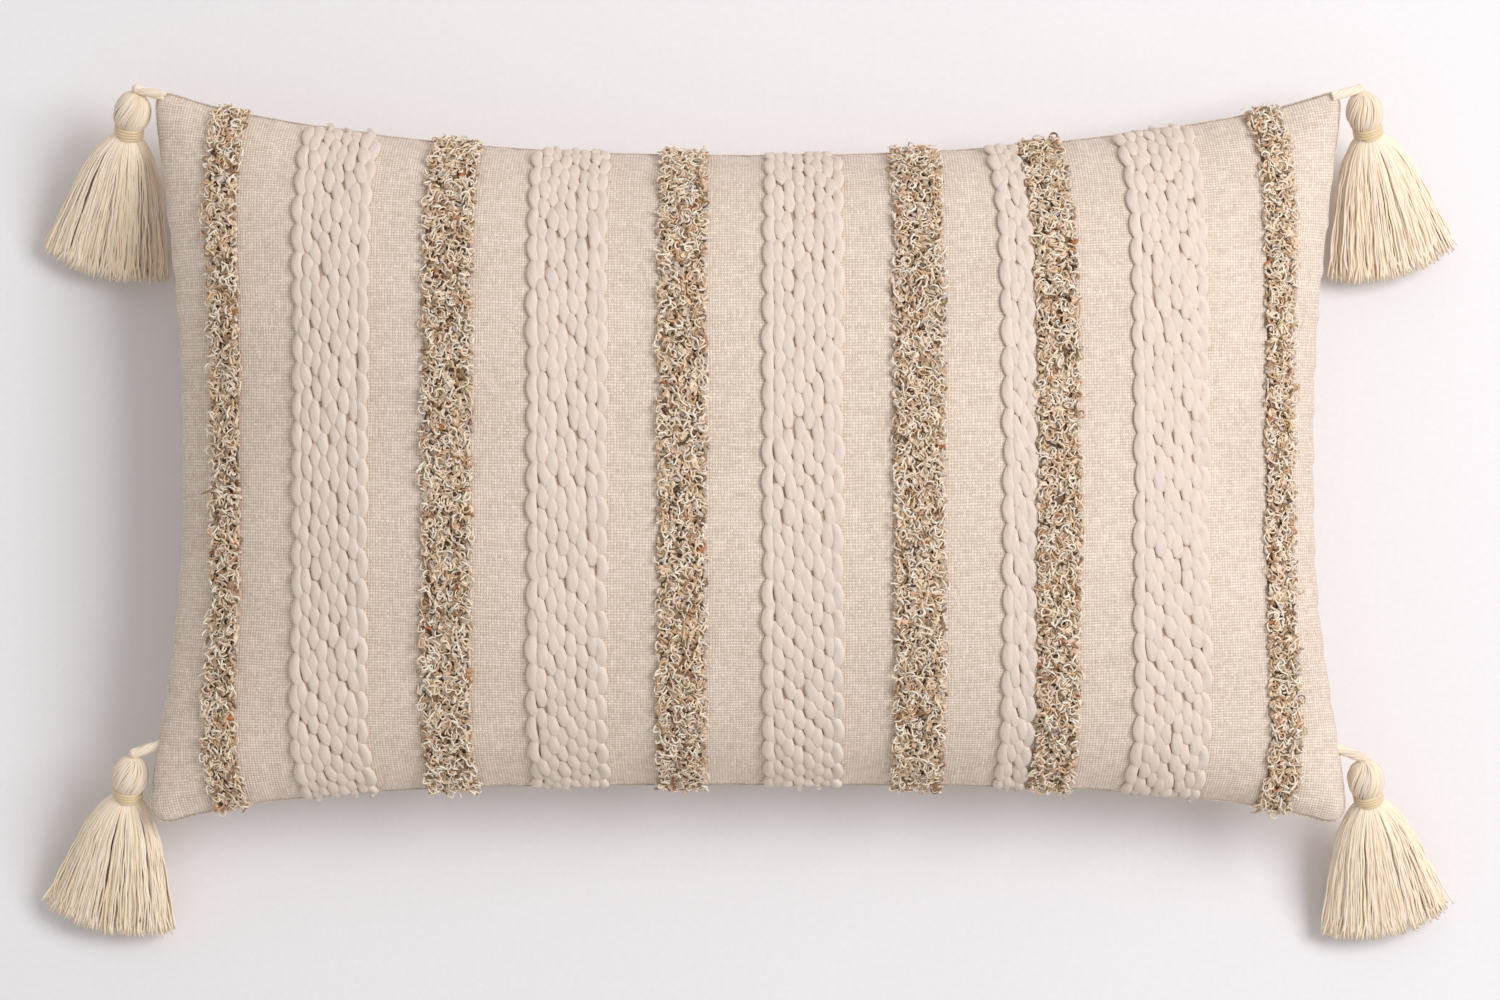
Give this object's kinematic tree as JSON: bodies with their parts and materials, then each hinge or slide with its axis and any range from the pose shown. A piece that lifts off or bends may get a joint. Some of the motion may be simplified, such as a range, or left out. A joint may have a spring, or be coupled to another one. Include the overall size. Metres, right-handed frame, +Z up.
{
  "type": "throw pillow",
  "caption": "Lumbar throw pillow with woven braid and loop-pile stripes across its front, a concealed zip in the seam and a yarn tassel near each corner",
  "frame": {"origin": "middle of the flat patch of the back that the pillow lies on, on the floor", "axes": "+X along the pillow's length, +Y across it away from the zip, +Z up out of the decorated front"},
  "size_m": [0.6051, 0.3669, 0.1158],
  "materials": {
    "cover_cloth": "matte",
    "cover_thread": "matte",
    "braid_yarn": "matte",
    "loop_yarn": "matte",
    "insert_cloth": "matte",
    "insert_thread": "matte",
    "insert_fill": "matte",
    "zip_tape": "matte",
    "zip_coil": "satin",
    "zip_metal": "satin",
    "tassel_cord": "matte",
    "tassel_yarn": "matte",
    "tassel_binding": "satin"
  },
  "bodies": {
    "pillow": {"cover_front": "cover_cloth", "cover_back": "cover_cloth", "cover_seam_thread": "cover_thread", "insert_front": "insert_cloth", "insert_back": "insert_cloth", "insert_seam_thread": "insert_thread", "insert_fill": "insert_fill", "braid_wide_1": "braid_yarn", "braid_wide_2": "braid_yarn", "braid_wide_3": "braid_yarn", "braid_wide_4": "braid_yarn", "braid_narrow": "braid_yarn", "loop_stripe_1": "loop_yarn", "loop_stripe_2": "loop_yarn", "loop_stripe_3": "loop_yarn", "loop_stripe_4": "loop_yarn", "loop_stripe_5": "loop_yarn", "loop_stripe_6": "loop_yarn", "zip_tape_front": "zip_tape", "zip_tape_back": "zip_tape", "zip_coil_front": "zip_coil", "zip_coil_back": "zip_coil", "zip_top_stops": "zip_metal", "zip_bottom_stop": "zip_metal"},
    "zip_slider": {"zip_slider": "zip_metal"},
    "zip_pull": {"zip_pull": "zip_metal"},
    "cord_top_left": {"tassel_cord_top_left": "tassel_cord"},
    "tassel_top_left": {"tassel_hank_top_left": "tassel_yarn", "tassel_binding_top_left": "tassel_binding"},
    "cord_top_right": {"tassel_cord_top_right": "tassel_cord"},
    "tassel_top_right": {"tassel_hank_top_right": "tassel_yarn", "tassel_binding_top_right": "tassel_binding"},
    "cord_bottom_left": {"tassel_cord_bottom_left": "tassel_cord"},
    "tassel_bottom_left": {"tassel_hank_bottom_left": "tassel_yarn", "tassel_binding_bottom_left": "tassel_binding"},
    "cord_bottom_right": {"tassel_cord_bottom_right": "tassel_cord"},
    "tassel_bottom_right": {"tassel_hank_bottom_right": "tassel_yarn", "tassel_binding_bottom_right": "tassel_binding"}
  },
  "joints": [
    {"name": "zip_slide", "type": "slide", "parent": "pillow", "child": "zip_slider", "axis": [-1, 0, 0], "range_m": [0, 0.27]},
    {"name": "zip_pull_hinge", "type": "hinge", "parent": "zip_slider", "child": "zip_pull", "pos_m": [0.14, -0.1306, 0.05], "axis": [0, 0, 1], "range_deg": [0, 150]},
    {"name": "tassel_swing_top_left", "type": "hinge", "parent": "pillow", "child": "cord_top_left", "pos_m": [-0.2501, 0.1582, 0.05], "axis": [0, 0, -1], "range_deg": [-6, 90]},
    {"name": "tassel_lift_top_left", "type": "hinge", "parent": "cord_top_left", "child": "tassel_top_left", "pos_m": [-0.2572, 0.1602, 0.04859], "axis": [-0.9703, 0.2419, 0], "range_deg": [0, 85]},
    {"name": "tassel_swing_top_right", "type": "hinge", "parent": "pillow", "child": "cord_top_right", "pos_m": [0.2501, 0.1582, 0.05], "axis": [0, 0, 1], "range_deg": [-6, 90]},
    {"name": "tassel_lift_top_right", "type": "hinge", "parent": "cord_top_right", "child": "tassel_top_right", "pos_m": [0.2572, 0.1602, 0.04859], "axis": [-0.9659, -0.2588, 0], "range_deg": [0, 85]},
    {"name": "tassel_swing_bottom_left", "type": "hinge", "parent": "pillow", "child": "cord_bottom_left", "pos_m": [-0.2504, -0.1165, 0.05], "axis": [0, 0, -1], "range_deg": [-6, 90]},
    {"name": "tassel_lift_bottom_left", "type": "hinge", "parent": "cord_bottom_left", "child": "tassel_bottom_left", "pos_m": [-0.2584, -0.1193, 0.04859], "axis": [-0.9781, 0.2079, 0], "range_deg": [0, 85]},
    {"name": "tassel_swing_bottom_right", "type": "hinge", "parent": "pillow", "child": "cord_bottom_right", "pos_m": [0.2504, -0.118, 0.05], "axis": [0, 0, 1], "range_deg": [-6, 90]},
    {"name": "tassel_lift_bottom_right", "type": "hinge", "parent": "cord_bottom_right", "child": "tassel_bottom_right", "pos_m": [0.2584, -0.1209, 0.04859], "axis": [-0.9799, -0.1994, 0], "range_deg": [0, 85]}
  ]
}
